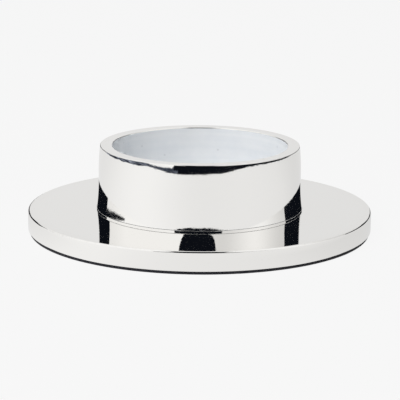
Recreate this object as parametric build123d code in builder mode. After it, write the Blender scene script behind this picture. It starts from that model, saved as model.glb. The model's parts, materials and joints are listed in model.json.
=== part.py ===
"""Candle ring: a turned cup ring screwed to the seat of a round drip plate, with a felt pad underneath.

Millimetres, +Z up. The origin is the middle of the pad's underside, where the object meets the table.
"""

import os

from build123d import *

# Driving dimensions of the candle and the ring that holds it
candle_diameter = 60.0
candle_clearance = 0.5
ring_wall = 4.8
ring_height = 22.0

# Rim of the ring: the wall leans in along a long shallow crown before the flat top
crown_height = 9.3
crown_lean = 0.54
rim_outer_round = 0.25
rim_inner_round = 0.4

# Foot of the ring: the wall sweeps out and ends over a fine joint line
foot_sweep_height = 9.58
foot_spread = 0.61
joint_gap = 0.12
joint_depth = 0.5

# Spigot under the ring, which centres it in the plate's recess
spigot_step = 0.4
spigot_clearance = 0.05
spigot_end_gap = 0.1
spigot_edge_break = 0.3
recess_depth = 2.3

# Drip plate: flat, with a low seat that carries the ring
plate_diameter = 120.0
plate_thickness = 6.7
plate_top_round = 0.6
plate_bottom_break = 0.3
seat_height = 0.5
seat_overhang = 0.09
seat_edge_round = 0.1

# Countersunk screws that pull the ring down from below
screw_count = 3
thread_diameter = 3.0
thread_clearance = 0.02
shank_clearance = 0.2
head_diameter = 5.5
head_sink = 0.1
head_seat_clearance = 0.02
screw_length = 10.0
screw_tip_break = 0.4
tap_run_out = 1.0
socket_across_flats = 2.0
socket_depth = 1.0

# Felt pad and the adhesive film that holds it
pad_thickness = 1.0
pad_inset = 0.6
film_thickness = 0.1
film_inset = 1.2

# Heights that follow from the stack
plate_bottom = pad_thickness + film_thickness
plate_top = plate_bottom + plate_thickness
seat_top = plate_top + seat_height
recess_floor = seat_top - recess_depth
spigot_end = recess_floor + spigot_end_gap
foot_end = seat_top + joint_gap
sweep_top = foot_end + foot_sweep_height
rim_top = seat_top + ring_height
crown_start = rim_top - crown_height

# Radii that follow from the candle and the walls
bore_radius = candle_diameter / 2 + candle_clearance
wall_radius = bore_radius + ring_wall
foot_radius = wall_radius + foot_spread
spigot_radius = wall_radius - spigot_step
recess_radius = spigot_radius + spigot_clearance
plate_radius = plate_diameter / 2
seat_radius = foot_radius + seat_overhang
pad_radius = plate_radius - pad_inset
film_radius = pad_radius - film_inset

# Screws stand in the middle of the spigot's wall, heads down
underside = Plane(origin=(0, 0, plate_bottom), x_dir=(1, 0, 0), z_dir=(0, 0, -1))
screw_circle_radius = (bore_radius + spigot_radius) / 2
thread_radius = thread_diameter / 2
head_radius = head_diameter / 2
screw_tip = plate_bottom + head_sink + screw_length
tapped_depth = screw_tip - spigot_end + tap_run_out


# Cup ring: one turned profile from the spigot up to the crowned rim
with BuildPart() as cup_ring:
    with BuildSketch(Plane.XZ) as ring_section:
        with BuildLine() as ring_outline:
            Polyline(
                (wall_radius - crown_lean, rim_top),
                (bore_radius, rim_top),
                (bore_radius, spigot_end),
                (spigot_radius, spigot_end),
                (spigot_radius, seat_top),
                (foot_radius - joint_depth, seat_top),
                (foot_radius - joint_depth, foot_end),
                (foot_radius, foot_end),
            )
            TangentArc(
                (wall_radius, sweep_top),
                (foot_radius, foot_end),
                tangent=(0, -1),
            )
            Line(
                (wall_radius, sweep_top),
                (wall_radius, crown_start),
            )
            TangentArc(
                (wall_radius, crown_start),
                (wall_radius - crown_lean, rim_top),
                tangent=(0, 1),
            )
        make_face()
    revolve(axis=Axis.Z)

    # Edges: a full inner lip, a fine outer lip and broken spigot corners
    fillet(cup_ring.edges().group_by(Axis.Z)[-1].sort_by(SortBy.RADIUS)[0], rim_inner_round)
    fillet(cup_ring.edges().group_by(Axis.Z)[-1].sort_by(SortBy.RADIUS)[-1], rim_outer_round)
    chamfer(cup_ring.edges().group_by(Axis.Z)[0], spigot_edge_break)

    # Blind tapped holes in the end of the spigot
    with BuildSketch(underside.offset(plate_bottom - spigot_end)) as tapped_holes:
        with PolarLocations(screw_circle_radius, screw_count):
            Circle(thread_radius + thread_clearance)
    extrude(amount=-tapped_depth, mode=Mode.SUBTRACT)
cup_ring.part.label = "cup_ring"


# Drip plate: one turned profile, with the spigot's recess above and countersunk holes below
with BuildPart() as base_plate:
    with BuildSketch(Plane.XZ) as plate_section:
        with BuildLine() as plate_outline:
            Polyline(
                (0, plate_bottom),
                (plate_radius, plate_bottom),
                (plate_radius, plate_top),
                (seat_radius, plate_top),
                (seat_radius, seat_top),
                (0, seat_top),
                close=True,
            )
        make_face()
        fillet(plate_section.vertices().group_by(Axis.X)[-1].sort_by(Axis.Y)[-1], plate_top_round)
        chamfer(plate_section.vertices().group_by(Axis.X)[-1].sort_by(Axis.Y)[0], plate_bottom_break)
        fillet(plate_section.vertices().group_by(Axis.Y)[-1].sort_by(Axis.X)[-1], seat_edge_round)
    revolve(axis=Axis.Z)

    with BuildSketch(Plane.XY.offset(seat_top)) as spigot_recess:
        Circle(recess_radius)
    extrude(amount=-recess_depth, mode=Mode.SUBTRACT)

    with Locations(underside):
        with PolarLocations(screw_circle_radius, screw_count):
            CounterSinkHole(
                radius=thread_radius + shank_clearance,
                counter_sink_radius=head_radius + head_sink + head_seat_clearance,
                counter_sink_angle=90,
            )
base_plate.part.label = "base_plate"


# One screw, head towards +Z and sunk below the surface at its origin
with BuildPart() as ring_screw:
    with BuildSketch(Plane.XZ) as screw_section:
        with BuildLine() as screw_outline:
            Polyline(
                (0, -head_sink),
                (head_radius, -head_sink),
                (thread_radius, -head_sink - (head_radius - thread_radius)),
                (thread_radius, -head_sink - screw_length + screw_tip_break),
                (thread_radius - screw_tip_break, -head_sink - screw_length),
                (0, -head_sink - screw_length),
                close=True,
            )
        make_face()
    revolve(axis=Axis.Z)
    with BuildSketch(Plane.XY.offset(-head_sink)) as hex_socket:
        RegularPolygon(radius=socket_across_flats / 2, side_count=6, major_radius=False)
    extrude(amount=-socket_depth, mode=Mode.SUBTRACT)


# The set of screws, each in its own hole
with BuildPart() as ring_screws:
    with Locations(underside):
        with PolarLocations(screw_circle_radius, screw_count):
            add(ring_screw.part)
ring_screws.part.label = "ring_screws"


# Double-sided film between plate and felt
with BuildPart() as pad_adhesive:
    with BuildSketch(Plane.XY.offset(pad_thickness)) as film_disc:
        Circle(film_radius)
    extrude(amount=film_thickness)
pad_adhesive.part.label = "pad_adhesive"


# Die-cut felt pad, which stands on the table
with BuildPart() as base_pad:
    with BuildSketch(Plane.XY) as felt_disc:
        Circle(pad_radius)
    extrude(amount=pad_thickness)
base_pad.part.label = "base_pad"


os.makedirs("parts", exist_ok=True)
for piece in (cup_ring, base_plate, ring_screws, pad_adhesive, base_pad):
    export_step(piece.part, f"parts/{piece.part.label}.step")
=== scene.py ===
"""Candle ring, dressed: mirror-polished ring and drip plate, satin bore, hidden screws and a felt pad.

Metres throughout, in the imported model's own frame: +Z up, origin under the middle of the felt pad.
"""

import json
import logging
import math
import random
from dataclasses import dataclass, field
from enum import Enum, IntEnum

import bpy
from mathutils import Matrix, Vector
from mathutils.geometry import normal, tessellate_polygon


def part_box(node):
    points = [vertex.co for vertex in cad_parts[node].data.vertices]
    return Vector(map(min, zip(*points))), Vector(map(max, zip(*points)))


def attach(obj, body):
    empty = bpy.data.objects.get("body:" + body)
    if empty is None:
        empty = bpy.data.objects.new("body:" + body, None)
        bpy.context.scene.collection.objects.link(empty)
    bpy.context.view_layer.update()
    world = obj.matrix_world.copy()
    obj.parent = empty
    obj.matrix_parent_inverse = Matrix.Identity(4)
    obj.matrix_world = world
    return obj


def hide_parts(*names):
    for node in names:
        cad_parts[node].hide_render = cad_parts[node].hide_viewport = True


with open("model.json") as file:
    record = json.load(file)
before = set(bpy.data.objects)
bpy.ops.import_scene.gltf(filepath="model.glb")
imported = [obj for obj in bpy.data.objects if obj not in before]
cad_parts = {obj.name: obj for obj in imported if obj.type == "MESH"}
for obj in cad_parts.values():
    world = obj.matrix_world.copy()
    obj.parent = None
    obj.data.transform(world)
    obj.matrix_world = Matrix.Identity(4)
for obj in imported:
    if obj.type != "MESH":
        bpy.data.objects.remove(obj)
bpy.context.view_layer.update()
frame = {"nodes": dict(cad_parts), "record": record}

MM = 0.001
BODY = "root"
TURN_SEGMENTS = 288
HOLE_SEGMENTS = 32
QUARTER_TURN = math.pi / 2
WHITE = (1.0, 1.0, 1.0)
BOARD_BLACK = (0.004, 0.005, 0.008)
MIX_COLOUR_INPUTS = (0, 6, 7)
MIX_COLOUR_RESULT = 2

Point = tuple[float, float]
Colour = tuple[float, float, float]
Loop = list[int]
Node = bpy.types.Node
Socket = bpy.types.NodeSocket
Material = bpy.types.Material

log = logging.getLogger("candle_ring")


def polar(r: float, turn: float, z: float, centre: Point = (0.0, 0.0)) -> Vector:
    """Point at a radius, an angle and a height about an upright axis."""
    return Vector((centre[0] + r * math.cos(turn), centre[1] + r * math.sin(turn), z))


class Surface(IntEnum):
    """Material slots of a turned piece."""

    POLISHED = 0
    SATIN = 1


class Side(Enum):
    """Which side of an arc the metal lies on."""

    CONVEX = 1.0
    CONCAVE = -1.0


@dataclass(frozen=True)
class Station:
    """One point of a half section, with the outward normal there."""

    r: float
    z: float
    nr: float
    nz: float


@dataclass
class Run:
    """A smooth stretch of a half section that has one finish.

    Attributes:
        stations: points from the start to the end of the stretch.
        surface: the finish of the faces along it.
        wear: how much of an edge it is, from 0 on a plain face to 1 on a rounded corner.
    """

    stations: list[Station]
    surface: Surface = Surface.POLISHED
    wear: float = 0.0

    @classmethod
    def line(cls, start: Point, end: Point, surface: Surface = Surface.POLISHED, steps: int = 1) -> "Run":
        """A straight stretch, with its normal on the right of the way it goes.

        Args:
            start: radius and height where it begins.
            end: radius and height where it ends.
            surface: finish of its faces.
            steps: how many faces it has along its length.

        Returns:
            The stretch.
        """
        way = Vector((end[0] - start[0], end[1] - start[1])).normalized()
        points = [Vector(start).lerp(Vector(end), i / steps) for i in range(steps + 1)]
        return cls([Station(p.x, p.y, way.y, -way.x) for p in points], surface)

    @classmethod
    def path(cls, points: list[Point], surface: Surface = Surface.POLISHED) -> list["Run"]:
        """Straight stretches from each point to the next."""
        return [cls.line(start, end, surface) for start, end in zip(points, points[1:])]

    @classmethod
    def arc(
        cls, centre: Point, radius: float, angles: Point, side: Side, steps: int, wear: float = 0.0
    ) -> "Run":
        """A round stretch about a centre.

        Args:
            centre: radius and height of the arc's middle.
            radius: the arc's own radius.
            angles: first and last angle, in radians from the outward direction.
            side: whether the metal bulges out or is hollowed.
            steps: how many faces it has along its length.
            wear: how much of an edge it is.

        Returns:
            The stretch.
        """
        stations = []
        for i in range(steps + 1):
            a = angles[0] + (angles[1] - angles[0]) * i / steps
            c, s = math.cos(a), math.sin(a)
            stations.append(
                Station(centre[0] + radius * c, centre[1] + radius * s, side.value * c, side.value * s)
            )
        return cls(stations, wear=wear)


class MeshMaker:
    """Collects vertices, faces and exact corner normals, and turns them into an object."""

    def __init__(self) -> None:
        """Starts with an empty mesh."""
        self.points: list[Vector] = []
        self.wear: list[float] = []
        self.faces: list[Loop] = []
        self.normals: list[list[Vector]] = []
        self.surfaces: list[int] = []

    def point(self, place: Vector, wear: float = 0.0) -> int:
        """Adds one vertex.

        Args:
            place: where it is.
            wear: its edge mark.

        Returns:
            Its index.
        """
        self.points.append(place)
        self.wear.append(wear)
        return len(self.points) - 1

    def face(self, corners: Loop, normals: list[Vector], surface: int = Surface.POLISHED) -> None:
        """Adds one face, wound so that it looks the way its normals point.

        Args:
            corners: vertex indices in order.
            normals: the exact normal at each corner.
            surface: material slot of the face.
        """
        a, b, c = (self.points[i] for i in corners[:3])
        if (b - a).cross(c - a).dot(normals[0] + normals[1] + normals[2]) < 0:
            corners, normals = corners[::-1], normals[::-1]
        self.faces.append(corners)
        self.normals.append(normals)
        self.surfaces.append(int(surface))

    def ring(
        self, r: float, z: float, segments: int, centre: Point = (0.0, 0.0), wear: float = 0.0
    ) -> Loop:
        """Adds a circle of vertices.

        Args:
            r: radius of the circle.
            z: its height.
            segments: how many vertices it has.
            centre: where its axis stands.
            wear: edge mark of its vertices.

        Returns:
            The vertex indices in order.
        """
        turns = [math.tau * i / segments for i in range(segments)]
        return [self.point(polar(r, turn, z, centre), wear) for turn in turns]

    def band(self, low: Loop, high: Loop, n_low: Point, n_high: Point, surface: int) -> None:
        """Joins two circles of vertices with quads that are smooth all round.

        Args:
            low: vertex indices of the first circle.
            high: vertex indices of the second circle, in step with the first.
            n_low: outward and upward part of the normal along the first circle.
            n_high: the same along the second.
            surface: material slot of the quads.
        """
        count = len(low)
        for i in range(count):
            j = (i + 1) % count
            a, b = math.tau * i / count, math.tau * j / count
            normals = [
                polar(n_low[0], a, n_low[1]),
                polar(n_low[0], b, n_low[1]),
                polar(n_high[0], b, n_high[1]),
                polar(n_high[0], a, n_high[1]),
            ]
            self.face([low[i], low[j], high[j], high[i]], normals, surface)

    def weave(self, low: Loop, high: Loop, turn: float = 1.0) -> None:
        """Joins two loops of vertices with quads that keep their own flat normal.

        Args:
            low: vertex indices of the first loop.
            high: vertex indices of the second loop, in step with the first.
            turn: 1 if the faces look out when the second loop is above the first, -1 if they look in.
        """
        count = len(low)
        for i in range(count):
            j = (i + 1) % count
            corners = [low[i], low[j], high[j], high[i]]
            a, b, c = (self.points[k] for k in corners[:3])
            flat = ((b - a).cross(c - a) * turn).normalized()
            self.face(corners, [flat if flat.length > 0 else Vector((0, 0, 1))] * 4)

    def spin(self, runs: list[Run], segments: int, centre: Point = (0.0, 0.0)) -> tuple[Loop, Loop]:
        """Turns a half section about a vertical axis.

        Args:
            runs: stretches of the section, each starting where the last one ends.
            segments: how many faces go round.
            centre: where the axis stands.

        Returns:
            The first and the last circle of vertices.
        """
        first: Loop = []
        last: Loop = []
        for run in runs:
            for i, s in enumerate(run.stations):
                if i == 0 and last:
                    circle = last
                else:
                    circle = self.ring(s.r, s.z, segments, centre, run.wear)
                if i > 0:
                    before = run.stations[i - 1]
                    self.band(last, circle, (before.nr, before.nz), (s.nr, s.nz), run.surface)
                first = first or circle
                last = circle
        return first, last

    def fill(self, outline: Loop, holes: list[Loop], up: float, surface: int = Surface.POLISHED) -> None:
        """Fills a flat outline that may have holes in it.

        Args:
            outline: vertex indices round the outside.
            holes: vertex indices round each hole.
            up: 1 for a face that looks up, -1 for one that looks down.
            surface: material slot of the faces.
        """
        loops = [outline, *holes]
        flat = [index for loop in loops for index in loop]
        for triangle in tessellate_polygon([[self.points[i] for i in loop] for loop in loops]):
            self.face([flat[i] for i in triangle], [Vector((0, 0, up))] * 3, surface)

    def build(self, name: str, materials: list[Material]) -> bpy.types.Object:
        """Makes the object, with smooth faces and the exact normals.

        Args:
            name: name of the object and its mesh.
            materials: one for each material slot.

        Returns:
            The new object, linked to the scene.
        """
        mesh = bpy.data.meshes.new(name)
        mesh.from_pydata(self.points, [], self.faces)
        for material in materials:
            mesh.materials.append(material)
        mesh.polygons.foreach_set("material_index", self.surfaces)
        mesh.shade_smooth()
        mesh.normals_split_custom_set([n for corners in self.normals for n in corners])
        mark = mesh.attributes.new("edge_wear", "FLOAT", "POINT")
        mark.data.foreach_set("value", self.wear)
        made = bpy.data.objects.new(name, mesh)
        bpy.context.scene.collection.objects.link(made)
        return made


class NodeBench:
    """Short ways to place and join nodes in one tree."""

    def __init__(self, tree: bpy.types.NodeTree) -> None:
        """Takes the tree that the nodes go into."""
        self.tree = tree

    def add(self, kind: str, **settings: object) -> Node:
        """Places a node and sets its properties.

        Args:
            kind: the node's type name, without ShaderNode.
            settings: property names and values.

        Returns:
            The node.
        """
        node = self.tree.nodes.new("ShaderNode" + kind)
        for name, value in settings.items():
            setattr(node, name, value)
        return node

    def join(self, value: object, target: Socket) -> None:
        """Joins a socket to an input, or sets the input to a constant.

        Args:
            value: a socket, a number, or the numbers of a colour or vector.
            target: the input.
        """
        if isinstance(value, Socket):
            self.tree.links.new(value, target)
        elif target.type == "RGBA":
            target.default_value = (*value, 1.0)
        else:
            target.default_value = value

    def put(self, node: Node, **values: object) -> Node:
        """Sets or joins the inputs of a node by name.

        Args:
            node: the node whose inputs are set.
            values: input names, with _ for a space, and sockets or constants.

        Returns:
            The node.
        """
        for name, value in values.items():
            self.join(value, node.inputs[name.replace("_", " ")])
        return node

    def math(self, operation: str, a: object, b: object = 0.0, clamp: bool = False) -> Socket:
        """One arithmetic step.

        Args:
            operation: the Math node's operation.
            a: first socket or number.
            b: second socket or number.
            clamp: whether the result is held between 0 and 1.

        Returns:
            The socket with the result.
        """
        node = self.add("Math", operation=operation, use_clamp=clamp)
        for target, value in zip(node.inputs, (a, b)):
            self.join(value, target)
        return node.outputs[0]

    def times(self, a: object, b: object) -> Socket:
        """The product of two sockets or numbers."""
        return self.math("MULTIPLY", a, b)

    def reach(self, x: Socket, y: Socket) -> Socket:
        """How far a place is from the upright axis."""
        return self.math("SQRT", self.math("ADD", self.times(x, x), self.times(y, y)))

    def ramp(self, value: object, low: Point, high: Point) -> Socket:
        """A straight change from one range to another, held at both ends.

        Args:
            value: socket that goes in.
            low: input and output at the first end.
            high: input and output at the second end.

        Returns:
            The socket with the result.
        """
        node = self.add("MapRange")
        self.put(node, Value=value, From_Min=low[0], From_Max=high[0], To_Min=low[1], To_Max=high[1])
        return node.outputs["Result"]

    def mask(self, value: object, span: Point) -> Socket:
        """How far a value is through a span, from 0 to 1."""
        return self.ramp(value, (span[0], 0.0), (span[1], 1.0))

    def mix(self, share: object, a: object, b: object) -> Socket:
        """Mixes two colours.

        Args:
            share: how much of the second colour, a socket or a number.
            a: first colour, a socket or three numbers.
            b: second colour, a socket or three numbers.

        Returns:
            The socket with the mixed colour.
        """
        node = self.add("Mix", data_type="RGBA")
        for index, value in zip(MIX_COLOUR_INPUTS, (share, a, b)):
            self.join(value, node.inputs[index])
        return node.outputs[MIX_COLOUR_RESULT]

    def mix_shaders(self, share: Socket, a: Socket, b: Socket) -> Socket:
        """Mixes two shaders.

        Args:
            share: how much of the second shader.
            a: first shader.
            b: second shader.

        Returns:
            The socket with the mixed shader.
        """
        node = self.add("MixShader")
        for target, value in zip(node.inputs, (share, a, b)):
            self.join(value, target)
        return node.outputs[0]

    def place(self) -> Socket:
        """The place on the object, in its own coordinates."""
        return self.add("TexCoord").outputs["Object"]

    def split(self, vector: Socket) -> list[Socket]:
        """The three parts of a vector."""
        return list(self.put(self.add("SeparateXYZ"), Vector=vector).outputs)

    def noise(self, dimensions: str = "3D", **inputs: object) -> Socket:
        """Soft noise over a place, or along one line."""
        return self.put(self.add("TexNoise", noise_dimensions=dimensions), **inputs).outputs[0]


class EffectGroups:
    """The shader node groups that several finishes share, each built once.

    Attributes:
        drift_size: how large the lathe's wander is, in metres for a drift of 1.
        drift_scale: how quickly it changes.
        broad_lines: broad turning bands per metre.
        hair_stretch: how the noise of the hairlines is drawn out.
        hair_turn: which way they lie.
        hair_span: the noise that becomes a hairline.
        spot_span: from a spot's full middle to its edge.
        worn_span: the noise that becomes broken polish.
    """

    drift_size: float = 0.001
    drift_scale: float = 40.0
    broad_lines: float = 420.0
    hair_stretch: tuple[float, float, float] = (1.0, 0.06, 1.0)
    hair_turn: tuple[float, float, float] = (0.3, 0.2, 0.7)
    hair_span: Point = (0.68, 0.74)
    spot_span: Point = (0.12, 0.34)
    worn_span: Point = (0.42, 0.66)

    def __init__(self) -> None:
        """Builds every group."""
        self.turning = self._turning_marks()
        self.haze = self._polish_haze()
        self.specks = self._specks()
        self.wear = self._edge_wear()

    @staticmethod
    def _start(name: str, inputs: dict[str, float], outputs: list[str]) -> tuple[NodeBench, Node, Node]:
        """Makes an empty group with number sockets.

        Args:
            name: name of the group.
            inputs: input names and their usual values.
            outputs: output names.

        Returns:
            The bench, the input node and the output node.
        """
        tree = bpy.data.node_groups.new(name, "ShaderNodeTree")
        for label, value in inputs.items():
            socket = tree.interface.new_socket(name=label, in_out="INPUT", socket_type="NodeSocketFloat")
            socket.default_value = value
        for label in outputs:
            tree.interface.new_socket(name=label, in_out="OUTPUT", socket_type="NodeSocketFloat")
        return NodeBench(tree), tree.nodes.new("NodeGroupInput"), tree.nodes.new("NodeGroupOutput")

    def _turning_marks(self) -> bpy.types.NodeTree:
        """Fine rings left by the lathe: circles on flat faces, hoops on upright ones.

        Returns:
            The group.
        """
        bench, given, result = self._start(
            "turning_marks", {"Lines per metre": 4000.0, "Drift": 0.3}, ["Mark", "Broad"]
        )
        place = bench.place()
        x, y, z = bench.split(place)
        along = bench.math("ADD", bench.reach(x, y), z)
        wander = bench.noise(Vector=place, Scale=self.drift_scale, Detail=1.0)
        shift = bench.times(wander, bench.times(given.outputs["Drift"], self.drift_size))
        lines = bench.noise(
            "1D", W=bench.math("ADD", along, shift), Scale=given.outputs["Lines per metre"], Detail=2.0
        )
        broad = bench.noise("1D", W=along, Scale=self.broad_lines, Detail=1.0)
        bench.put(result, Mark=lines, Broad=broad)
        return bench.tree

    def _polish_haze(self) -> bpy.types.NodeTree:
        """Cloudy polish and hairline scratches left by the buffing wheel.

        Returns:
            The group.
        """
        bench, given, result = self._start(
            "polish_haze", {"Cloud scale": 60.0, "Scratch scale": 900.0}, ["Cloud", "Scratch"]
        )
        place = bench.place()
        cloud = bench.noise(Vector=place, Scale=given.outputs["Cloud scale"], Detail=4.0, Roughness=0.55)
        drawn = bench.add("Mapping")
        bench.put(drawn, Vector=place, Scale=self.hair_stretch, Rotation=self.hair_turn)
        hairs = bench.noise(Vector=drawn.outputs[0], Scale=given.outputs["Scratch scale"], Detail=2.0)
        bench.put(result, Cloud=cloud, Scratch=bench.mask(hairs, self.hair_span))
        return bench.tree

    def _specks(self) -> bpy.types.NodeTree:
        """Scattered small spots, as pits in metal or lint on felt.

        Returns:
            The group.
        """
        bench, given, result = self._start("specks", {"Scale": 700.0, "Share": 0.1}, ["Spot"])
        cells = bench.add("TexVoronoi", feature="F1")
        bench.put(cells, Vector=bench.place(), Scale=given.outputs["Scale"], Randomness=1.0)
        chosen = bench.put(bench.add("SeparateColor"), Color=cells.outputs["Color"])
        lucky = bench.math("LESS_THAN", chosen.outputs[0], given.outputs["Share"])
        middle, edge = self.spot_span
        round_spot = bench.ramp(cells.outputs["Distance"], (middle, 1.0), (edge, 0.0))
        bench.put(result, Spot=bench.times(lucky, round_spot))
        return bench.tree

    def _edge_wear(self) -> bpy.types.NodeTree:
        """Broken polish along rounded edges, from the edge mark of the mesh.

        Returns:
            The group.
        """
        bench, given, result = self._start("edge_wear", {"Amount": 1.0, "Scale": 800.0}, ["Wear"])
        mark = bench.add("Attribute", attribute_name="edge_wear")
        grain = bench.noise(Vector=bench.place(), Scale=given.outputs["Scale"], Detail=3.0)
        shown = bench.times(mark.outputs["Fac"], bench.mask(grain, self.worn_span))
        bench.put(result, Wear=bench.times(shown, given.outputs["Amount"]))
        return bench.tree


@dataclass(frozen=True)
class Coat:
    """A material in the making: its nodes, its shader and the shared effects."""

    bench: NodeBench
    shader: Node
    effects: EffectGroups

    def effect(self, group: bpy.types.NodeTree, **values: float) -> dict[str, Socket]:
        """Places a shared effect with its own values.

        Args:
            group: the node group.
            values: its inputs, with _ for a space.

        Returns:
            Its outputs by name.
        """
        node = self.bench.put(self.bench.add("Group", node_tree=group), **values)
        return {socket.name: socket for socket in node.outputs}

    def bump(self, height: Socket, strength: float, depth: float) -> None:
        """Gives the shader a bump from a height.

        Args:
            height: socket with the height.
            strength: how much of the bump shows.
            depth: how deep a height of 1 is.
        """
        node = self.bench.put(self.bench.add("Bump"), Height=height, Strength=strength, Distance=depth)
        self.bench.put(self.shader, Normal=node.outputs[0])


class Finish:
    """A material that is made from the shared effects."""

    name: str = "finish"

    def material(self, effects: EffectGroups) -> Material:
        """Makes the material.

        Args:
            effects: the shared node groups.

        Returns:
            The material, with its nodes joined.
        """
        made = bpy.data.materials.new(self.name)
        made.use_nodes = True
        self.dress(Coat(NodeBench(made.node_tree), made.node_tree.nodes["Principled BSDF"], effects))
        return made

    def dress(self, coat: Coat) -> None:
        """Joins the effects to the shader of a coat."""
        raise NotImplementedError


@dataclass(frozen=True)
class PolishedNickel(Finish):
    """Mirror-polished nickel plate, a little warm, with buffing haze and softened edges."""

    name: str = "polished_nickel"
    tint: Colour = (0.925, 0.915, 0.895)
    worn_tint: Colour = (0.86, 0.845, 0.815)
    gloss: float = 0.018
    haze: float = 0.05
    cloud_span: Point = (0.35, 0.75)
    scratch_wear: float = 0.25
    worn_roughness: float = 0.08
    line_height: float = 0.06
    scratch_depth: float = 0.1
    bump_share: float = 0.5
    bump_depth: float = 0.01 * MM

    def dress(self, coat: Coat) -> None:
        """Joins haze, hairlines, turning marks, ripple and edge wear to the shader.

        Args:
            coat: the material in the making.
        """
        bench, effects = coat.bench, coat.effects
        haze = coat.effect(effects.haze, Cloud_scale=45.0, Scratch_scale=1400.0)
        ripple = coat.effect(effects.haze, Cloud_scale=600.0, Scratch_scale=1400.0)
        marks = coat.effect(effects.turning, Lines_per_metre=2600.0, Drift=0.4)
        wear = coat.effect(effects.wear, Amount=0.5, Scale=900.0)
        blemish = bench.math("MAXIMUM", wear["Wear"], bench.times(haze["Scratch"], self.scratch_wear))
        clear, cloudy = self.cloud_span
        rough = bench.ramp(haze["Cloud"], (clear, self.gloss), (cloudy, self.haze))
        bench.put(
            coat.shader,
            Base_Color=bench.mix(blemish, self.tint, self.worn_tint),
            Roughness=bench.math("ADD", rough, bench.times(blemish, self.worn_roughness)),
            Metallic=1.0,
        )
        lines = bench.times(marks["Mark"], self.line_height)
        scored = bench.math("SUBTRACT", lines, bench.times(haze["Scratch"], self.scratch_depth))
        coat.bump(bench.math("ADD", scored, ripple["Cloud"]), self.bump_share, self.bump_depth)


@dataclass(frozen=True)
class SatinBore(Finish):
    """Turned and plated metal that was never polished: cool grey, with tool rings and pits."""

    name: str = "satin_bore"
    tint: Colour = (0.84, 0.865, 0.89)
    bright_tint: Colour = (0.90, 0.915, 0.93)
    pit_tint: Colour = (0.48, 0.50, 0.53)
    roughness: Point = (0.34, 0.46)
    mark_span: Point = (0.3, 0.7)
    band_share: float = 0.65
    band_span: Point = (0.6, 1.05)
    pit_share: float = 0.3
    bump_share: float = 0.35
    bump_depth: float = 0.02 * MM

    def dress(self, coat: Coat) -> None:
        """Joins tool rings, cloudy plating and pits to the shader.

        Args:
            coat: the material in the making.
        """
        bench, effects = coat.bench, coat.effects
        marks = coat.effect(effects.turning, Lines_per_metre=5200.0, Drift=0.6)
        haze = coat.effect(effects.haze, Cloud_scale=150.0, Scratch_scale=700.0)
        pits = coat.effect(effects.specks, Scale=620.0, Share=0.04)
        banded = bench.math("ADD", bench.times(marks["Broad"], self.band_share), haze["Cloud"])
        plated = bench.mix(bench.mask(banded, self.band_span), self.tint, self.bright_tint)
        low, high = zip(self.mark_span, self.roughness)
        bench.put(
            coat.shader,
            Base_Color=bench.mix(bench.times(pits["Spot"], self.pit_share), plated, self.pit_tint),
            Roughness=bench.ramp(marks["Mark"], low, high),
            Metallic=0.3,
        )
        coat.bump(bench.math("SUBTRACT", marks["Mark"], pits["Spot"]), self.bump_share, self.bump_depth)


@dataclass(frozen=True)
class PressedFelt(Finish):
    """Dense black felt: matted fibres, a soft sheen and a little pale lint."""

    name: str = "pressed_felt"
    dark: Colour = (0.006, 0.006, 0.010)
    light: Colour = (0.014, 0.014, 0.021)
    lint: Colour = (0.22, 0.22, 0.23)
    fibre_share: float = 0.4
    fibre_span: Point = (0.35, 0.95)
    lint_share: float = 0.5
    roughness: tuple[Point, Point] = ((0.3, 0.88), (0.9, 1.0))
    bump_share: float = 0.8
    bump_depth: float = 0.25 * MM

    def dress(self, coat: Coat) -> None:
        """Joins matted fibres and lint to the shader.

        Args:
            coat: the material in the making.
        """
        bench, effects = coat.bench, coat.effects
        matted = coat.effect(effects.haze, Cloud_scale=1500.0, Scratch_scale=2600.0)
        lint = coat.effect(effects.specks, Scale=420.0, Share=0.03)
        fibres = bench.math("ADD", matted["Cloud"], bench.times(matted["Scratch"], self.fibre_share))
        body = bench.mix(bench.mask(fibres, self.fibre_span), self.dark, self.light)
        bench.put(
            coat.shader,
            Base_Color=bench.mix(bench.times(lint["Spot"], self.lint_share), body, self.lint),
            Roughness=bench.ramp(fibres, *self.roughness),
            Sheen_Weight=0.05,
            Sheen_Roughness=0.6,
        )
        coat.bump(fibres, self.bump_share, self.bump_depth)


@dataclass(frozen=True)
class ZincSteel(Finish):
    """Zinc-plated screw steel, pale and slightly clouded."""

    name: str = "zinc_steel"
    tint: Colour = (0.60, 0.61, 0.63)
    cloudy: Colour = (0.70, 0.70, 0.68)
    roughness: tuple[Point, Point] = ((0.3, 0.25), (0.7, 0.42))
    bump_share: float = 0.2
    bump_depth: float = 0.01 * MM

    def dress(self, coat: Coat) -> None:
        """Joins the clouded plating and drawing marks to the shader.

        Args:
            coat: the material in the making.
        """
        bench, effects = coat.bench, coat.effects
        haze = coat.effect(effects.haze, Cloud_scale=500.0, Scratch_scale=2500.0)
        marks = coat.effect(effects.turning, Lines_per_metre=9000.0, Drift=0.2)
        bench.put(
            coat.shader,
            Base_Color=bench.mix(haze["Cloud"], self.tint, self.cloudy),
            Roughness=bench.ramp(haze["Cloud"], *self.roughness),
            Metallic=1.0,
        )
        coat.bump(marks["Mark"], self.bump_share, self.bump_depth)


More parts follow.
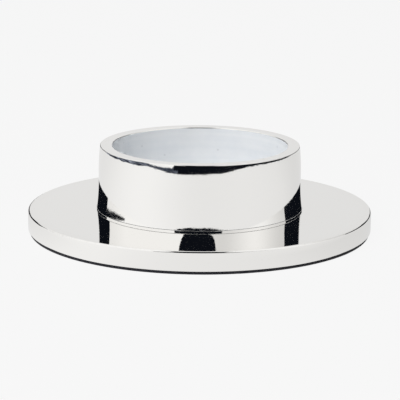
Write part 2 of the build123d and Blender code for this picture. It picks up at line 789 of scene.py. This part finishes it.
@dataclass(frozen=True)
class AcrylicFilm(Finish):
    """Double-sided acrylic film with a tissue carrier, milky and slightly amber."""

    name: str = "acrylic_film"
    tint: Colour = (0.80, 0.77, 0.68)
    tissue: Colour = (0.88, 0.86, 0.80)
    tissue_span: Point = (0.3, 1.0)
    roughness: tuple[Point, Point] = ((0.3, 0.30), (1.0, 0.55))
    bump_share: float = 0.3
    bump_depth: float = 0.03 * MM

    def dress(self, coat: Coat) -> None:
        """Joins the tissue's fibres to the shader.

        Args:
            coat: the material in the making.
        """
        bench = coat.bench
        tissue = coat.effect(coat.effects.haze, Cloud_scale=900.0, Scratch_scale=1800.0)
        shown = bench.math("ADD", tissue["Cloud"], tissue["Scratch"])
        bench.put(
            coat.shader,
            Base_Color=bench.mix(bench.mask(shown, self.tissue_span), self.tint, self.tissue),
            Roughness=bench.ramp(shown, *self.roughness),
        )
        coat.bump(shown, self.bump_share, self.bump_depth)


class Finishes:
    """Every material of the object, made once."""

    def __init__(self) -> None:
        """Makes the shared effects and the materials."""
        effects = EffectGroups()
        self.nickel = PolishedNickel().material(effects)
        self.satin = SatinBore().material(effects)
        self.felt = PressedFelt().material(effects)
        self.zinc = ZincSteel().material(effects)
        self.film = AcrylicFilm().material(effects)

    def turned(self) -> list[Material]:
        """The materials of a turned piece, in the order of Surface."""
        return [self.nickel, self.satin]


def mount_radius(name: str) -> float:
    """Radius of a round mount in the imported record, in metres."""
    mounts = {mount["name"]: mount for mount in frame["record"]["mounts"]}
    return mounts[name]["dims"]["r_mm"] * MM


def adopt(piece: bpy.types.Object, node: str) -> bpy.types.Object:
    """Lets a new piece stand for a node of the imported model.

    Args:
        piece: the new piece.
        node: the node that it stands for.

    Returns:
        The piece.
    """
    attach(piece, BODY)
    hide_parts(node)
    log.info("%s: %d faces, stands for %s", piece.name, len(piece.data.polygons), node)
    return piece


@dataclass
class ScrewPlan:
    """Where the screws stand and how big they are."""

    count: int = 3
    thread_radius: float = 1.5 * MM
    pitch: float = 0.5 * MM
    thread_depth: float = 0.27 * MM
    thread_clearance: float = 0.02 * MM
    shank_clearance: float = 0.2 * MM
    head_radius: float = 2.75 * MM
    head_sink: float = 0.1 * MM
    seat_clearance: float = 0.02 * MM
    tip_break: float = 0.4 * MM
    run_out: float = 1.0 * MM
    socket_flats: float = 2.0 * MM
    socket_depth: float = 1.0 * MM

    def centres(self) -> list[Point]:
        """The axis of each screw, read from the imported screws.

        Returns:
            One place for each screw.
        """
        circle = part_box("ring_screws")[1].x - self.head_radius
        turn = math.tau / self.count
        return [(circle * math.cos(turn * i), circle * math.sin(turn * i)) for i in range(self.count)]


@dataclass
class CupRing:
    """The upright ring: crowned rim, satin bore, swept foot and hidden spigot."""

    screws: ScrewPlan
    wall: float = 4.8 * MM
    crown_height: float = 9.3 * MM
    crown_lean: float = 0.54 * MM
    rim_outer_round: float = 0.25 * MM
    rim_inner_round: float = 0.4 * MM
    foot_height: float = 9.58 * MM
    foot_spread: float = 0.61 * MM
    joint_gap: float = 0.12 * MM
    joint_depth: float = 0.5 * MM
    spigot_step: float = 0.4 * MM
    spigot_break: float = 0.3 * MM

    def outer_runs(self, foot: float, top: float, bore: float) -> list[Run]:
        """The seen section, from the foot over the rim to the top of the bore.

        Args:
            foot: height where the swept foot ends, over the joint.
            top: height of the rim.
            bore: radius of the bore.

        Returns:
            The stretches in order.
        """
        wall = bore + self.wall
        sweep = (self.foot_height**2 + self.foot_spread**2) / (2 * self.foot_spread)
        hollow = (wall + sweep, foot + self.foot_height)
        flare = math.asin(self.foot_height / sweep)
        crown = (self.crown_height**2 + self.crown_lean**2) / (2 * self.crown_lean)
        heart = (wall - crown, top - self.crown_height)
        drop = self.crown_height - self.rim_outer_round
        lip = (
            heart[0] + math.sqrt((crown - self.rim_outer_round) ** 2 - drop**2),
            top - self.rim_outer_round,
        )
        lip_start = math.atan2(drop, lip[0] - heart[0])
        inner = (bore + self.rim_inner_round, top - self.rim_inner_round)
        return [
            Run.arc(hollow, sweep, (math.pi + flare, math.pi), Side.CONCAVE, steps=20),
            Run.line((wall, hollow[1]), (wall, heart[1]), steps=2),
            Run.arc(heart, crown, (0.0, lip_start), Side.CONVEX, steps=14),
            Run.arc(lip, self.rim_outer_round, (lip_start, QUARTER_TURN), Side.CONVEX, steps=8, wear=1.0),
            Run.line((lip[0], top), (inner[0], top)),
            Run.arc(inner, self.rim_inner_round, (QUARTER_TURN, math.pi), Side.CONVEX, steps=12, wear=1.0),
        ]

    def build(self, finishes: Finishes) -> bpy.types.Object:
        """Makes the ring with its blind holes.

        Args:
            finishes: the object's materials.

        Returns:
            The ring.
        """
        low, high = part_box("cup_ring")
        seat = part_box("base_plate")[1].z
        bore = mount_radius("candle_bore")
        spigot = bore + self.wall - self.spigot_step
        end = low.z
        cut = self.spigot_break
        foot = seat + self.joint_gap
        shoulder = high.x - self.joint_depth
        below_foot = [
            (spigot - cut, end),
            (spigot, end + cut),
            (spigot, seat),
            (shoulder, seat),
            (shoulder, foot),
            (high.x, foot),
        ]
        runs = [
            *Run.path(below_foot, Surface.SATIN),
            *self.outer_runs(foot, high.z, bore),
            Run.line((bore, high.z - self.rim_inner_round), (bore, end + cut), Surface.SATIN, steps=4),
            Run.line((bore, end + cut), (bore + cut, end), Surface.SATIN),
        ]
        maker = MeshMaker()
        outside, inside = maker.spin(runs, TURN_SEGMENTS)
        self.drill(maker, outside, inside, end)
        piece = maker.build("polished_cup_ring", finishes.turned())
        return adopt(piece, "cup_ring")

    def drill(self, maker: MeshMaker, outside: Loop, inside: Loop, end: float) -> None:
        """Closes the spigot's end round the blind tapped holes.

        Args:
            maker: the ring's mesh.
            outside: outer circle of the end face.
            inside: inner circle of the end face.
            end: height of the end face.
        """
        plan = self.screws
        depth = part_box("ring_screws")[1].z + plan.run_out
        radius = plan.thread_radius + plan.thread_clearance
        mouths = []
        for centre in plan.centres():
            wall = Run.line((radius, depth), (radius, end), Surface.SATIN)
            roof, mouth = maker.spin([wall], HOLE_SEGMENTS, centre)
            maker.fill(roof, [], -1.0, Surface.SATIN)
            mouths.append(mouth)
        maker.fill(outside, [inside, *mouths], -1.0, Surface.SATIN)


@dataclass
class DripPlate:
    """The round plate: a low seat for the ring, with its recess and countersunk holes below."""

    screws: ScrewPlan
    top_round: float = 0.6 * MM
    bottom_break: float = 0.3 * MM
    seat_height: float = 0.5 * MM
    seat_overhang: float = 0.09 * MM
    seat_edge_round: float = 0.1 * MM
    spigot_clearance: float = 0.05 * MM
    spigot_end_gap: float = 0.1 * MM

    def build(self, ring: CupRing, finishes: Finishes) -> bpy.types.Object:
        """Makes the plate with its recess and holes.

        Args:
            ring: the ring that stands in the recess.
            finishes: the object's materials.

        Returns:
            The plate.
        """
        low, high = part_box("base_plate")
        edge = high.x
        bottom, seat_top = low.z, high.z
        top = seat_top - self.seat_height
        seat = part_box("cup_ring")[1].x + self.seat_overhang
        recess = mount_radius("candle_bore") + ring.wall - ring.spigot_step + self.spigot_clearance
        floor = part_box("cup_ring")[0].z - self.spigot_end_gap
        corner = (edge - self.top_round, top - self.top_round)
        lip = (seat - self.seat_edge_round, seat_top - self.seat_edge_round)
        cut = self.bottom_break
        runs = [
            *Run.path([(edge - cut, bottom), (edge, bottom + cut), (edge, corner[1])]),
            Run.arc(corner, self.top_round, (0.0, QUARTER_TURN), Side.CONVEX, steps=10, wear=1.0),
            Run.line((corner[0], top), (seat, top), steps=6),
            Run.line((seat, top), (seat, lip[1])),
            Run.arc(lip, self.seat_edge_round, (0.0, QUARTER_TURN), Side.CONVEX, steps=8, wear=1.0),
            Run.line((lip[0], seat_top), (recess, seat_top)),
            Run.line((recess, seat_top), (recess, floor), Surface.SATIN),
        ]
        maker = MeshMaker()
        underside, recess_edge = maker.spin(runs, TURN_SEGMENTS)
        below, above = self.drill(maker, bottom, floor)
        maker.fill(underside, below, -1.0, Surface.SATIN)
        maker.fill(recess_edge, above, 1.0, Surface.SATIN)
        piece = maker.build("polished_drip_plate", finishes.turned())
        return adopt(piece, "base_plate")

    def drill(self, maker: MeshMaker, bottom: float, floor: float) -> tuple[list[Loop], list[Loop]]:
        """Adds the countersunk holes between the recess and the underside.

        Args:
            maker: the plate's mesh.
            bottom: height of the underside.
            floor: height of the recess floor.

        Returns:
            The circles on the underside and those on the recess floor.
        """
        plan = self.screws
        wide = plan.head_radius + plan.head_sink + plan.seat_clearance
        narrow = plan.thread_radius + plan.shank_clearance
        hole = [(narrow, floor), (narrow, bottom + wide - narrow), (wide, bottom)]
        below, above = [], []
        for centre in plan.centres():
            mouth_above, mouth_below = maker.spin(Run.path(hole, Surface.SATIN), HOLE_SEGMENTS, centre)
            below.append(mouth_below)
            above.append(mouth_above)
        return below, above


@dataclass
class RingScrews:
    """Three countersunk screws with cut threads and hexagon sockets."""

    plan: ScrewPlan
    steps_per_turn: int = 8
    around: int = 24
    socket_sides: int = 6

    def build(self, finishes: Finishes) -> bpy.types.Object:
        """Makes the set of screws as one piece.

        Args:
            finishes: the object's materials.

        Returns:
            The piece.
        """
        maker = MeshMaker()
        low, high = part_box("ring_screws")
        for centre in self.plan.centres():
            self.one(maker, centre, low.z, high.z)
        piece = maker.build("socket_screws", [finishes.zinc])
        return adopt(piece, "ring_screws")

    def one(self, maker: MeshMaker, centre: Point, head: float, tip: float) -> None:
        """Adds one screw, head down.

        Args:
            maker: the mesh of the set.
            centre: the screw's axis.
            head: height of the head's flat face.
            tip: height of the point.
        """
        plan = self.plan
        neck = head + plan.head_radius - plan.thread_radius
        cone = Run.line((plan.head_radius, head), (plan.thread_radius, neck))
        face, collar = maker.spin([cone], self.around, centre)
        corner = plan.socket_flats / math.sqrt(3)
        mouth = maker.ring(corner, head, self.socket_sides, centre)
        deep = maker.ring(corner, head + plan.socket_depth, self.socket_sides, centre)
        maker.fill(face, [mouth], -1.0)
        maker.fill(deep, [], -1.0)
        maker.weave(mouth, deep, -1.0)
        maker.fill(self.thread(maker, collar, centre, neck, tip), [], 1.0)

    def thread(self, maker: MeshMaker, collar: Loop, centre: Point, neck: float, tip: float) -> Loop:
        """Winds the thread from the neck to the tip.

        Args:
            maker: the mesh of the set.
            collar: circle where the head ends.
            centre: the screw's axis.
            neck: height of that circle.
            tip: height of the point.

        Returns:
            The last circle.
        """
        plan = self.plan
        rows = round((tip - neck) / plan.pitch * self.steps_per_turn)
        last = collar
        for row in range(1, rows + 1):
            z = neck + (tip - neck) * row / rows
            fade = min(1.0, row / self.steps_per_turn)
            taper = max(0.0, z - (tip - plan.tip_break))
            circle = []
            for i in range(self.around):
                phase = (z - neck) / plan.pitch - i / self.around
                valley = abs(2 * (phase % 1.0) - 1)
                r = plan.thread_radius - plan.thread_depth * valley * fade - taper
                circle.append(maker.point(polar(r, math.tau * i / self.around, z, centre)))
            maker.weave(last, circle)
            last = circle
        return last


@dataclass
class FeltPad:
    """The felt disc under the plate, with a slightly ragged die-cut edge and loose fibres.

    Attributes:
        edge_wander: how far the cut edge draws in at most.
        ragged_share: outer share of the radius over which it does.
        edge_round: rounding of the cut edge.
        edge_steps: faces along that rounding.
        around: steps round the disc.
        rings: circles on each flat side.
        fibre_count: loose fibres in all.
        fibre_length: shortest and longest fibre.
        fibre_radius: thickness at the root.
        fibre_root: how deep in the felt a fibre begins.
        fibre_heights: lowest and highest root, as shares of the felt's thickness.
        fibre_out: how much a fibre points outward.
        fibre_lean: how far it may lean sideways, in all.
        fibre_lift: how far it may point up or down, in all.
        fibre_bend: how much it curls, as a share of its length.
        fibre_taper: how much thinner its tip is.
        needle: corners of a fibre's section, sideways and up.
        seed: start of the chance.
    """

    edge_wander: float = 0.06 * MM
    ragged_share: float = 0.1
    edge_round: float = 0.18 * MM
    edge_steps: int = 4
    around: int = 480
    rings: int = 10
    fibre_count: int = 520
    fibre_length: Point = (0.25 * MM, 0.7 * MM)
    fibre_radius: float = 0.012 * MM
    fibre_root: float = 0.15 * MM
    fibre_heights: Point = (0.1, 0.9)
    fibre_out: float = 0.55
    fibre_lean: float = 1.8
    fibre_lift: float = 0.5
    fibre_bend: float = 0.35
    fibre_taper: float = 0.6
    needle: tuple[Point, ...] = ((0.0, 1.0), (0.87, -0.5), (-0.87, -0.5))
    seed: int = 17

    def build(self, finishes: Finishes) -> bpy.types.Object:
        """Makes the felt disc and its loose fibres.

        Args:
            finishes: the object's materials.

        Returns:
            The disc.
        """
        low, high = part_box("base_pad")
        radius, thick = high.x, high.z
        dice = random.Random(self.seed)
        maker = MeshMaker()
        wander = self.wander(dice)
        circles = []
        for r, z in self.section(radius, low.z, thick):
            share = max(0.0, (r - (1 - self.ragged_share) * radius) / (self.ragged_share * radius))
            circle = []
            for i, inward in enumerate(wander):
                circle.append(maker.point(polar(r - share * inward, math.tau * i / self.around, z)))
            circles.append(circle)
        for inner, outer in zip(circles, circles[1:]):
            maker.weave(inner, outer, -1.0)
        maker.fill(circles[0], [], 1.0)
        maker.fill(circles[-1], [], -1.0)
        pad = maker.build("felt_pad", [finishes.felt])
        adopt(pad, "base_pad")
        fibres = self.fibres(dice, radius, thick, finishes)
        return pad

    def section(self, radius: float, bottom: float, top: float) -> list[Point]:
        """Half section of the disc, from the middle of its top over the edge to the middle below.

        Args:
            radius: the disc's radius.
            bottom: height of its underside.
            top: height of its upper side.

        Returns:
            Radius and height of each circle.
        """
        inner = [radius * (i + 1) / (self.rings + 1) for i in range(self.rings)]
        rim = []
        for i in range(self.edge_steps + 1):
            a = QUARTER_TURN * (1 - i / self.edge_steps)
            r = radius - self.edge_round * (1 - math.cos(a))
            rim.append((r, top - self.edge_round * (1 - math.sin(a))))
        lower = [(r, bottom + top - z) for r, z in reversed(rim)]
        return [(r, top) for r in inner] + rim + lower + [(r, bottom) for r in reversed(inner)]

    def wander(self, dice: random.Random) -> list[float]:
        """How far the cut edge draws in at each step round, smoothed."""
        raw = [dice.random() * self.edge_wander for _ in range(self.around)]
        return [(raw[i - 1] + raw[i] + raw[(i + 1) % self.around]) / 3 for i in range(self.around)]

    def fibres(
        self, dice: random.Random, radius: float, top: float, finishes: Finishes
    ) -> bpy.types.Object:
        """Makes the loose fibres that stand out of the cut edge.

        Args:
            dice: the source of chance.
            radius: the disc's radius.
            top: the disc's thickness.
            finishes: the object's materials.

        Returns:
            The fibres as one piece.
        """
        maker = MeshMaker()
        lowest, highest = self.fibre_heights
        shortest, longest = self.fibre_length
        for _ in range(self.fibre_count):
            turn = dice.random() * math.tau
            height = top * (lowest + (highest - lowest) * dice.random())
            reach = shortest + (longest - shortest) * dice.random()
            lean = (dice.random() - 0.5) * self.fibre_lean
            lift = (dice.random() - 0.5) * self.fibre_lift
            out = polar(1.0, turn, 0.0)
            side = polar(1.0, turn + QUARTER_TURN, 0.0)
            way = (out * self.fibre_out + side * lean + Vector((0, 0, lift))).normalized()
            root = out * (radius - self.fibre_root) + Vector((0, 0, height))
            self.strand(maker, root, way, side, reach, top)
        made = maker.build("felt_fibres", [finishes.felt])
        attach(made, BODY)
        log.info("%s: %d fibres", made.name, self.fibre_count)
        return made

    def strand(
        self, maker: MeshMaker, root: Vector, way: Vector, side: Vector, reach: float, top: float
    ) -> None:
        """Adds one fibre as a bent three-sided needle.

        Args:
            maker: the mesh of the fibres.
            root: where it leaves the felt.
            way: the direction that it starts in.
            side: the direction that it bends to.
            reach: its length.
            top: the height that it stays under.
        """
        loops = []
        for along in (0.0, 0.5, 1.0):
            middle = root + way * reach * along + side * reach * self.fibre_bend * along * along
            middle.z = min(max(middle.z, self.fibre_radius), top)
            thin = self.fibre_radius * (1 - self.fibre_taper * along)
            corners = [side * thin * across + Vector((0, 0, thin * up)) for across, up in self.needle]
            loops.append([maker.point(middle + corner) for corner in corners])
        for low, high in zip(loops, loops[1:]):
            maker.weave(low, high)
        maker.face(loops[0], [-way] * 3)
        maker.face(loops[-1], [way] * 3)


@dataclass
class PadFilm:
    """The adhesive film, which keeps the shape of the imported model."""

    node: str = "pad_adhesive"

    def dress(self, finishes: Finishes) -> None:
        """Gives the film its finish.

        Args:
            finishes: the object's materials.
        """
        piece = frame["nodes"][self.node]
        piece.data.materials.clear()
        piece.data.materials.append(finishes.film)
        log.info("%s: dressed", self.node)


@dataclass(frozen=True)
class StudioBoard:
    """An upright dark board round the object, which only polished metal sees.

    Attributes:
        name: the board's name.
        distance: how far away it stands.
        corners: azimuth and elevation of each corner in degrees; azimuth 0 is towards the camera and
            positive is to the right of the picture.
        shade: how bright it is.
    """

    name: str
    distance: float
    corners: tuple[Point, ...]
    shade: Colour = BOARD_BLACK

    def points(self) -> list[Vector]:
        """Where the corners are.

        Returns:
            One point for each corner.
        """
        made = []
        for azimuth, elevation in self.corners:
            a, e = math.radians(azimuth), math.radians(elevation)
            way = Vector((math.sin(a) * math.cos(e), -math.cos(a) * math.cos(e), math.sin(e)))
            made.append(way * self.distance)
        return made


@dataclass(frozen=True)
class TableCard:
    """A dark card held low over the table, pale below, which only polished metal sees.

    Attributes:
        name: the card's name.
        corners: azimuth in degrees, as on a board, and distance from the object's axis.
        shade: how bright its upper side is.
        patches: how bright its paler patches are; the same as the shade for an even card.
        patch_scale: how small they are.
        patch_span: the noise that becomes a patch.
        height: how high over the table it is held.
    """

    name: str
    corners: tuple[Point, ...]
    shade: Colour = BOARD_BLACK
    patches: Colour = BOARD_BLACK
    patch_scale: float = 28.0
    patch_span: Point = (0.46, 0.62)
    height: float = 12.0 * MM

    def points(self) -> list[Vector]:
        """Where the corners are, in the order that makes the card look up.

        Returns:
            One point for each corner.
        """
        made = []
        for azimuth, distance in self.corners:
            a = math.radians(azimuth)
            made.append(Vector((math.sin(a) * distance, -math.cos(a) * distance, self.height)))
        return made if normal(made).z > 0 else made[::-1]


BOARDS: tuple[StudioBoard | TableCard, ...] = (
    StudioBoard("front_board", 0.465, (
        (-28, 0.9), (-20, 0.35), (-12, 0), (10, 0), (18, 0.35), (26.5, 0.9), (26.5, 4), (24, 14.5),
        (18.1, 20.9), (17.7, 22.9), (16.9, 25.3), (15.2, 26.9), (11.9, 28), (-17, 27.7),
        (-18.7, 26.6), (-20.2, 25), (-21.8, 22.6), (-22.5, 20.6), (-26.5, 14.5), (-28, 4),
    )),
    StudioBoard("overhead_board", 0.465, (
        (-14, 27.6), (10, 27.6), (17, 33), (19, 45), (27, 60), (62, 75), (-62, 75), (-27, 60),
        (-19, 45), (-17, 33),
    )),
    StudioBoard("back_left_board", 1.2, (
        (-170, 3), (-125, 3), (-125, 12), (-124, 16), (-122.5, 20), (-122.4, 22.5), (-162, 22.5),
        (-162, 16.5), (-170, 15),
    )),
    StudioBoard("left_wedge_board", 1.2, (
        (-127, 7.3), (-116.3, 6.7), (-106, 6), (-97, 5.3), (-88.6, 5), (-89, 5.7),
        (-97.5, 6.7), (-107, 7.8), (-118, 8.7), (-127, 9.7),
    )),
    StudioBoard("back_right_board", 1.2, (
        (107.5, 3), (164, 3), (164, 14.5), (157, 16.5), (157, 22.5), (112.5, 22.5), (112.5, 17),
        (108, 12),
    )),
    StudioBoard("low_right_board", 1.1, (
        (27, 0.2), (75, 0.2), (60, 0.7), (50, 1.1), (36, 1.7), (27, 2.2),
    )),
    TableCard("front_card", (
        (-23, 0.25), (-15, 0.252), (-10, 0.262), (-5, 0.274), (0, 0.286), (9.5, 0.291), (16.8, 0.30),
        (25.3, 0.297), (25.3, 0.5), (0, 0.5), (-23, 0.5),
    )),
    TableCard("left_card", (
        (-23, 0.25), (-26.6, 0.25), (-31, 0.26), (-36.6, 0.285), (-42.8, 0.335), (-48.8, 0.36),
        (-57, 0.40), (-57, 0.68), (-50.1, 0.69), (-44.1, 0.68), (-38.3, 0.70), (-32.7, 0.73),
        (-30.5, 0.75), (-29.5, 2.0), (-23, 2.0),
    ), (0.025, 0.03, 0.045), (0.12, 0.135, 0.17)),
    TableCard("far_left_card", (
        (-57, 0.40), (-62, 0.36), (-68, 0.31), (-75, 0.27), (-82, 0.26), (-90, 0.22), (-95, 0.22),
        (-110, 0.18), (-125, 0.155), (-125, 1.5), (-95, 1.5), (-57, 0.9),
    ), (0.03, 0.035, 0.05), (0.30, 0.33, 0.40)),
    TableCard("right_card", (
        (25.3, 0.297), (28.6, 0.315), (33, 0.345), (37.4, 0.385), (43.6, 0.43), (52.2, 0.50),
        (61.7, 0.44), (68, 0.395), (81, 0.305), (95.6, 0.237), (110, 0.19), (125, 0.16),
        (125, 1.2), (75, 1.4), (25.3, 1.4),
    )),
)


@dataclass
class Studio:
    """Pale floor, even light and the dark boards that draw the metal's edges.

    Attributes:
        pale: how bright floor and backdrop look.
        ambient: how strongly the room lights dull surfaces.
        floor_size: length of the floor's sides.
        floor_gap: how far the floor lies under the felt.
        floor_glow: how bright the floor's own light looks, to which its shaded part is added.
        floor_share: share of that light in what the camera sees of the floor.
        lamp_size: how wide the lamp is.
        lamp_power: its power in watts.
        lamp_place: where it hangs.
        ceiling: height in the room, as the upward part of a direction, where the sides end and where
            the white ceiling begins.
        room_light: azimuth in degrees, as on a board, and how bright the room is there in a mirror.
        floor_painted_light: the same for the floor, a painted light and shade of the floor that only
            polished metal sees.
        near_painted_shadow: the share of it that is left right beside the plate, a painted contact shadow.
        near_reach: how far from the middle that begins and ends to fade.
    """

    pale: float = 0.923
    ambient: float = 0.2
    floor_size: float = 6.0
    floor_gap: float = 0.05 * MM
    floor_glow: float = 0.934
    floor_share: float = 0.97
    lamp_size: float = 0.9
    lamp_power: float = 16.0
    lamp_place: tuple[float, float, float] = (-0.53, -0.85, 0.84)
    ceiling: Point = (0.6, 0.95)
    room_light: tuple[Point, ...] = (
        (-180, 0.80), (-150, 0.82), (-110, 0.93), (-75, 1.08), (-58, 1.15), (-40, 1.17), (-15, 0.96),
        (20, 0.70), (40, 0.80), (66, 1.06), (90, 0.81), (115, 0.65), (150, 0.76), (180, 0.80),
    )
    # Painted light and shade of the floor as polished metal sees it, brighter or darker by azimuth.
    floor_painted_light: tuple[Point, ...] = (
        (-180, 0.80), (-150, 0.81), (-124, 0.80), (-90, 0.92), (-55, 0.98), (-25, 0.89), (0, 0.84),
        (35, 0.86), (55, 0.855), (90, 0.83), (115, 0.74), (140, 0.74), (180, 0.80),
    )
    # Painted contact shadow on the floor right beside the plate, as polished metal sees it.
    near_painted_shadow: tuple[Point, ...] = (
        (-180, 0.87), (-95, 0.88), (-80, 0.90), (-65, 0.92), (-52, 0.97), (-38, 1.0), (0, 0.995),
        (25, 0.98), (42, 0.92), (60, 0.88), (78, 0.87), (95, 0.88), (180, 0.87),
    )
    near_reach: Point = (76.0 * MM, 88.0 * MM)

    def build(self) -> None:
        """Sets up the floor, the world, the lamp and the boards."""
        self.floor()
        self.world()
        self.lamp()
        for board in BOARDS:
            self.hang(board)

    @staticmethod
    def put_up(name: str, coat: str, points: list[Vector]) -> tuple[bpy.types.Object, NodeBench]:
        """Makes one flat face of the studio with a material of its own.

        Args:
            name: name of the face.
            coat: name of its material.
            points: its corners in order.

        Returns:
            The face, and the bench of its material.
        """
        mesh = bpy.data.meshes.new(name)
        mesh.from_pydata(points, [], [tuple(range(len(points)))])
        material = bpy.data.materials.new(coat)
        material.use_nodes = True
        mesh.materials.append(material)
        made = bpy.data.objects.new(name, mesh)
        bpy.context.scene.collection.objects.link(made)
        return made, NodeBench(material.node_tree)

    @staticmethod
    def all_round(bench: NodeBench, x: Socket, y: Socket, levels: tuple[Point, ...]) -> Socket:
        """A brightness that changes softly with the direction from the object.

        Args:
            bench: the tree that it goes into.
            x: socket with the place or direction across the picture.
            y: socket with the place or direction away from the camera.
            levels: azimuth in degrees, as on a board, and brightness there.

        Returns:
            The socket with the brightness.
        """
        turn = bench.math("ARCTAN2", x, bench.times(y, -1.0))
        node = bench.add("ValToRGB")
        ramp = node.color_ramp
        ramp.interpolation = "B_SPLINE"
        while len(ramp.elements) < len(levels):
            ramp.elements.new(0.5)
        for stop, (azimuth, level) in zip(ramp.elements, levels):
            stop.position = (azimuth + 180.0) / 360.0
            stop.color = (level, level, level, 1.0)
        bench.put(node, Fac=bench.mask(turn, (-math.pi, math.pi)))
        return node.outputs["Color"]

    def floor(self) -> None:
        """Lays the pale floor, which keeps a soft shadow and is clear from below; in polished metal it
        shows a painted glow with painted shade.
        """
        half = self.floor_size / 2
        corners = ((-half, -half), (half, -half), (half, half), (-half, half))
        points = [Vector((x, y, -self.floor_gap)) for x, y in corners]
        _, bench = self.put_up("floor", "pale_floor", points)
        nodes = bench.tree.nodes
        shader = nodes["Principled BSDF"]
        bench.put(shader, Base_Color=(self.pale,) * 3, Roughness=1.0, Specular_IOR_Level=0.0)
        x, y, _ = bench.split(bench.place())
        # Painted light and shade: the glow that polished metal sees of the floor, darkened by azimuth and
        # right beside the plate.
        painted_pool = self.all_round(bench, x, y, self.floor_painted_light)
        near = self.all_round(bench, x, y, self.near_painted_shadow)
        away = bench.mask(bench.reach(x, y), self.near_reach)
        painted_pool = bench.mix(away, bench.times(painted_pool, near), painted_pool)
        path = bench.add("LightPath").outputs
        seen = path["Is Camera Ray"]
        glow = bench.put(bench.add("Emission"), Color=bench.mix(seen, painted_pool, (self.floor_glow,) * 3))
        mirrored = bench.math("MAXIMUM", path["Is Glossy Ray"], path["Is Transmission Ray"])
        share = bench.math("ADD", bench.times(seen, self.floor_share), mirrored, clamp=True)
        lit = bench.mix_shaders(share, shader.outputs[0], glow.outputs[0])
        below = bench.add("NewGeometry").outputs["Backfacing"]
        shown = bench.mix_shaders(below, lit, bench.add("BsdfTransparent").outputs[0])
        bench.put(nodes["Material Output"], Surface=shown)

    def world(self) -> None:
        """Makes the white room, whose sides are softly uneven in a mirror."""
        room = bpy.data.worlds.new("white_room")
        room.use_nodes = True
        bpy.context.scene.world = room
        bench = NodeBench(room.node_tree)
        x, y, z = bench.split(bench.add("TexCoord").outputs["Generated"])
        sides = self.all_round(bench, x, y, self.room_light)
        mirrored = bench.mix(bench.mask(z, self.ceiling), sides, WHITE)
        path = bench.add("LightPath").outputs
        shown = bench.mix(path["Is Diffuse Ray"], mirrored, (self.ambient,) * 3)
        shown = bench.mix(path["Is Camera Ray"], shown, (self.pale,) * 3)
        bench.put(room.node_tree.nodes["Background"], Color=shown, Strength=1.0)

    def lamp(self) -> None:
        """Hangs one large soft lamp above, in front and to the left."""
        data = bpy.data.lights.new("soft_lamp", "AREA")
        data.shape = "DISK"
        data.size = self.lamp_size
        data.energy = self.lamp_power
        made = bpy.data.objects.new("soft_lamp", data)
        made.location = self.lamp_place
        made.rotation_euler = (-made.location).to_track_quat("-Z", "Y").to_euler()
        made.visible_glossy = False
        made.visible_camera = False
        bpy.context.scene.collection.objects.link(made)

    def hang(self, board: StudioBoard | TableCard) -> None:
        """Puts up one board or card, dark on the side that looks up or at the object.

        Args:
            board: where it is and how dark it is.
        """
        made, bench = self.put_up(board.name, board.name, board.points())
        glow = bench.put(bench.add("Emission"), Color=board.shade)
        if isinstance(board, TableCard):
            below = bench.add("NewGeometry").outputs["Backfacing"]
            cloud = bench.noise(Vector=bench.place(), Scale=board.patch_scale, Detail=3.0)
            above = bench.mix(bench.mask(cloud, board.patch_span), board.shade, board.patches)
            bench.put(glow, Color=bench.mix(below, above, (self.pale,) * 3))
        bench.put(bench.tree.nodes["Material Output"], Surface=glow.outputs[0])
        made.visible_camera = False
        made.visible_diffuse = False
        made.visible_shadow = False
        made.visible_transmission = False


@dataclass
class PhotoCamera:
    """The camera, placed by fitting the picture's ellipses."""

    distance: float = 626.9 * MM
    elevation: float = math.radians(14.432)
    roll: float = math.radians(0.425)
    aim: Vector = field(default_factory=lambda: Vector((0.143, 0.0, 10.341)) * MM)
    focal_pixels: float = 1779.4
    picture_pixels: float = 400.0
    sensor: float = 36.0
    clip: Point = (0.01, 50.0)

    def build(self) -> None:
        """Makes the camera and hands it to the scene."""
        data = bpy.data.cameras.new("photo_camera")
        data.sensor_width = self.sensor
        data.lens = self.focal_pixels / self.picture_pixels * self.sensor
        data.clip_start, data.clip_end = self.clip
        made = bpy.data.objects.new("photo_camera", data)
        bpy.context.scene.collection.objects.link(made)
        place = Vector((0.0, -math.cos(self.elevation), math.sin(self.elevation))) * self.distance
        look = (self.aim - place).to_track_quat("-Z", "Y").to_matrix().to_4x4()
        made.matrix_world = Matrix.Translation(place) @ look @ Matrix.Rotation(self.roll, 4, "Z")
        bpy.context.scene.camera = made


def main() -> None:
    """Builds the pieces in order, then the studio and the camera."""
    logging.basicConfig(level=logging.INFO, format="%(name)s: %(message)s")
    bpy.context.scene.view_settings.view_transform = "Standard"
    finishes = Finishes()
    plan = ScrewPlan()
    ring = CupRing(plan)
    ring.build(finishes)
    DripPlate(plan).build(ring, finishes)
    RingScrews(plan).build(finishes)
    PadFilm().dress(finishes)
    FeltPad().build(finishes)
    Studio().build()
    PhotoCamera().build()


if __name__ == "__main__":
    main()
